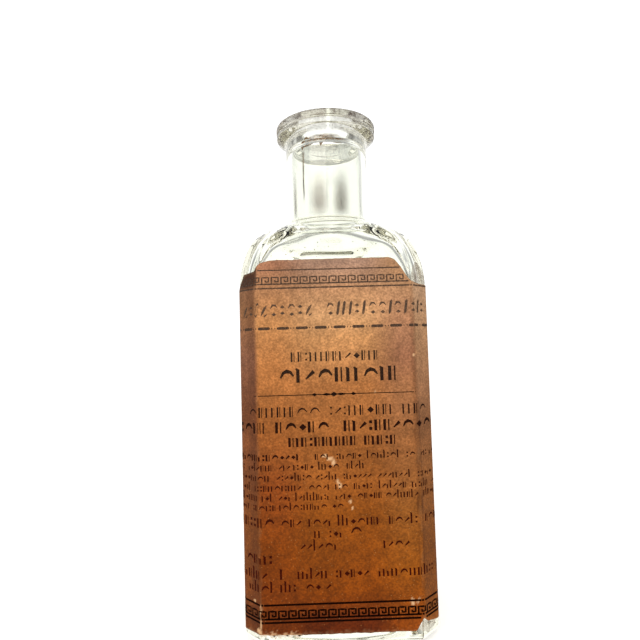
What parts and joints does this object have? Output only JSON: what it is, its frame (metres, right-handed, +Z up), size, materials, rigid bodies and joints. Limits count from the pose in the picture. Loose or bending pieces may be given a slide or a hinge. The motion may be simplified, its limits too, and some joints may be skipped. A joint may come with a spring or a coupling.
{
  "type": "square medicine bottle",
  "caption": "Square clear glass medicine bottle with bevelled corners, rounded shoulder, flanged lip for a cork, and an aged paper label wrapped over the front.",
  "frame": {"origin": "centre of the base, on the surface that the bottle stands on", "axes": "+Z up the bottle's axis to the mouth, -Y towards the label's front, +X to the label's right"},
  "size_m": [0.0432, 0.0431, 0.1229],
  "materials": {
    "clear_glass": "fire-polished, faint yellow-green tint",
    "aged_paper": "uncoated rag paper, browned and stained, printed in black",
    "dried_paste": "thin dried starch paste, crazed",
    "torn_fibre": "torn paper backing, fibrous",
    "old_cork": "crumbled natural cork, stained dark",
    "dried_tincture": "dried brown film, translucent"
  },
  "bodies": {
    "root": {"glass_bottle": "clear_glass", "label_paper": "aged_paper", "label_paste": "dried_paste", "label_flakes": "torn_fibre", "cork_crumbs": "old_cork", "tincture_residue": "dried_tincture"}
  },
  "joints": []
}
